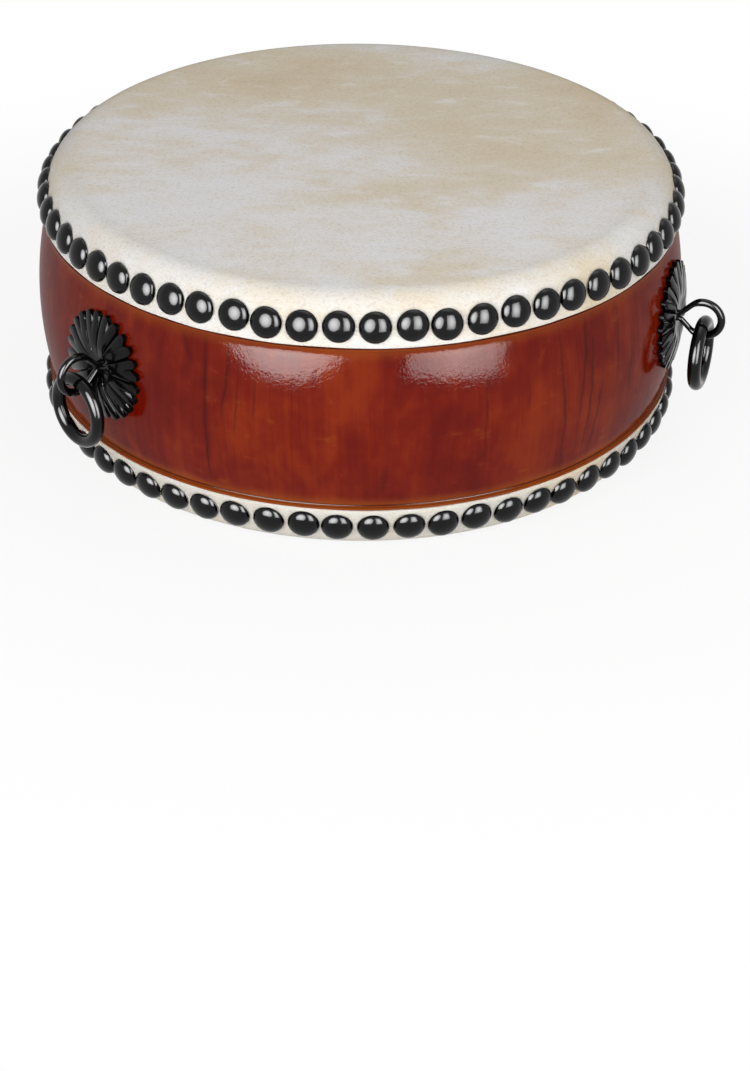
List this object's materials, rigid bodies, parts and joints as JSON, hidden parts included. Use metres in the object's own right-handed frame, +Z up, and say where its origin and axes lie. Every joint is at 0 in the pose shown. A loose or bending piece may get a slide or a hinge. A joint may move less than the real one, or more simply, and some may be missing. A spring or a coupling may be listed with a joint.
{
  "type": "taiko drum",
  "caption": "Shallow taiko drum: lacquered stave barrel, two tacked skins and iron ring handles hung from split pins.",
  "frame": {"origin": "centre of the bottom skin's flat face, on the drum's axis", "axes": "+Z up along the drum's axis, -Y out through handle 1"},
  "size_m": [0.4204, 0.4481, 0.17],
  "materials": {
    "lacquered_wood": "red-brown transparent lacquer, high gloss",
    "rawhide": "matte, cloudy ivory",
    "black_tack": "black, gloss",
    "black_iron": "black, gloss"
  },
  "bodies": {
    "drum": {"stave_01": "lacquered_wood", "stave_02": "lacquered_wood", "stave_03": "lacquered_wood", "stave_04": "lacquered_wood", "stave_05": "lacquered_wood", "stave_06": "lacquered_wood", "stave_07": "lacquered_wood", "stave_08": "lacquered_wood", "stave_09": "lacquered_wood", "stave_10": "lacquered_wood", "stave_11": "lacquered_wood", "stave_12": "lacquered_wood", "stave_13": "lacquered_wood", "stave_14": "lacquered_wood", "stave_15": "lacquered_wood", "stave_16": "lacquered_wood", "stave_17": "lacquered_wood", "stave_18": "lacquered_wood", "stave_19": "lacquered_wood", "stave_20": "lacquered_wood", "stave_21": "lacquered_wood", "stave_22": "lacquered_wood", "stave_23": "lacquered_wood", "stave_24": "lacquered_wood", "top_skin": "rawhide", "bottom_skin": "rawhide", "top_tacks": "black_tack", "bottom_tacks": "black_tack", "plate_1": "black_iron", "plate_2": "black_iron", "plate_3": "black_iron", "split_pin_1": "black_iron", "split_pin_2": "black_iron", "split_pin_3": "black_iron"},
    "ring_1": {"ring_1": "black_iron"},
    "ring_2": {"ring_2": "black_iron"},
    "ring_3": {"ring_3": "black_iron"}
  },
  "joints": [
    {"name": "ring_1_swing", "type": "hinge", "parent": "drum", "child": "ring_1", "pos_m": [0, -0.22656, 0.0872], "axis": [-1, 0, 0], "range_deg": [-24, 200]},
    {"name": "ring_2_swing", "type": "hinge", "parent": "drum", "child": "ring_2", "pos_m": [0.19621, 0.11328, 0.0872], "axis": [0.5, -0.866, 0], "range_deg": [-24, 200]},
    {"name": "ring_3_swing", "type": "hinge", "parent": "drum", "child": "ring_3", "pos_m": [-0.19621, 0.11328, 0.0872], "axis": [0.5, 0.866, 0], "range_deg": [-24, 200]}
  ]
}
